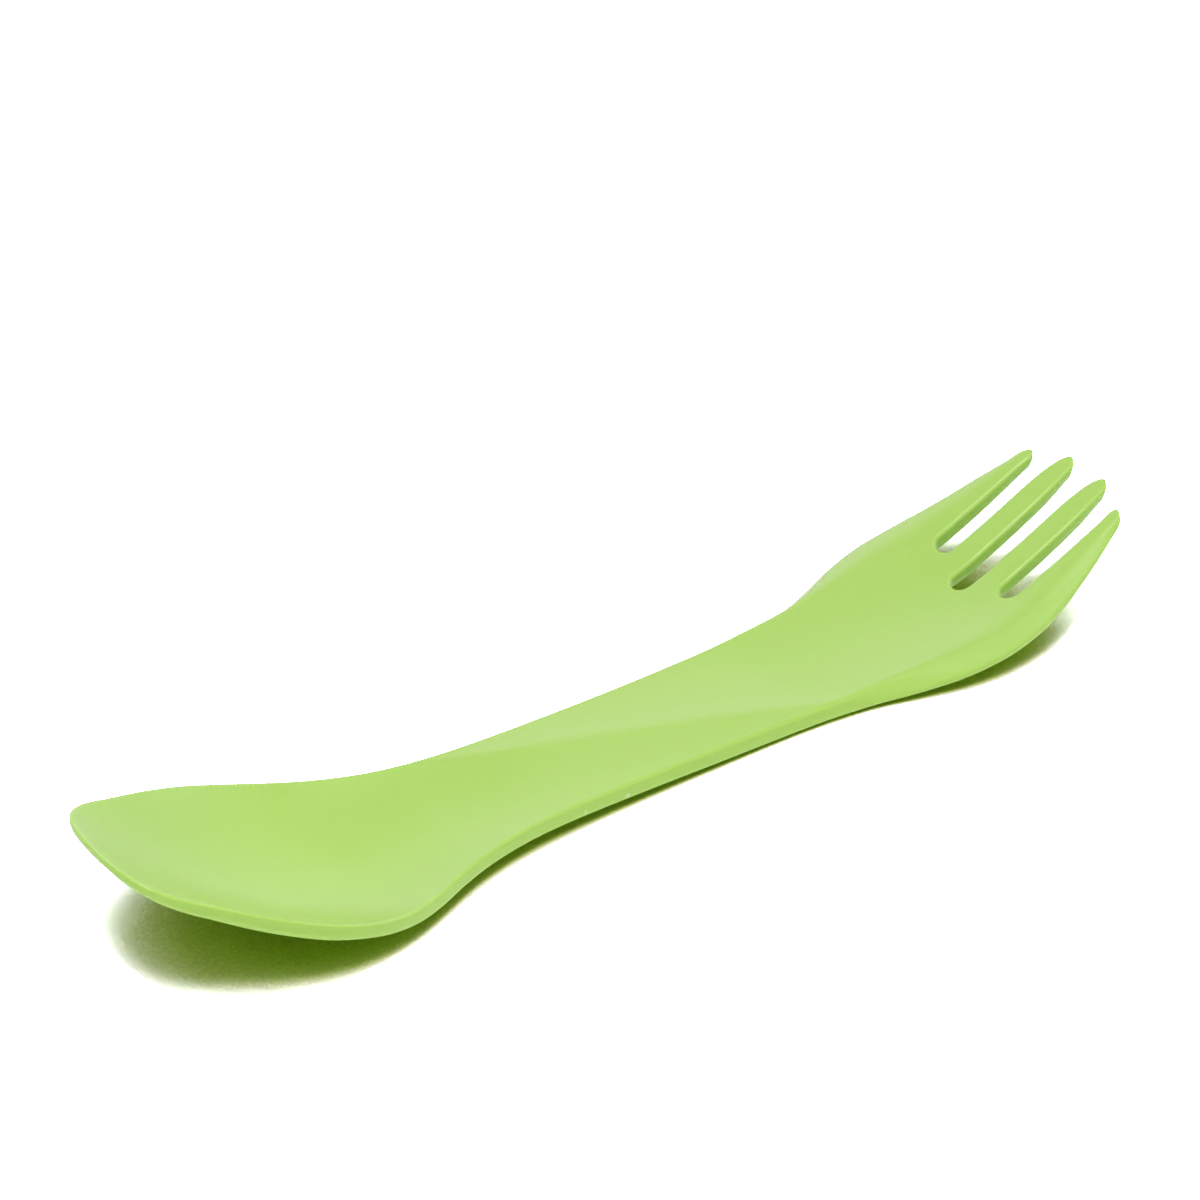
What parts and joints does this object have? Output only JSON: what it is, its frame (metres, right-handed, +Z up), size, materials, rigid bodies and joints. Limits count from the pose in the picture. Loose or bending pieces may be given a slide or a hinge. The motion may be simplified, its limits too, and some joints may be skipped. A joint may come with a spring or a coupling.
{
  "type": "double-ended spork",
  "caption": "One-piece plastic spork with a deep spoon bowl at one end, a four-tined fork at the other and a flat creased handle between them.",
  "frame": {"origin": "middle of the bounding box's base, on the table the spork lies on", "axes": "+X along the spork from the spoon bowl to the tines, +Z up with the bowl's hollow facing up"},
  "size_m": [0.17, 0.0376, 0.0231],
  "materials": {
    "green_plastic": "satin"
  },
  "bodies": {
    "root": {"spoon_bowl": "green_plastic", "handle": "green_plastic", "fork_palm": "green_plastic", "outer_tine_left": "green_plastic", "inner_tine_left": "green_plastic", "inner_tine_right": "green_plastic", "outer_tine_right": "green_plastic"}
  },
  "joints": []
}
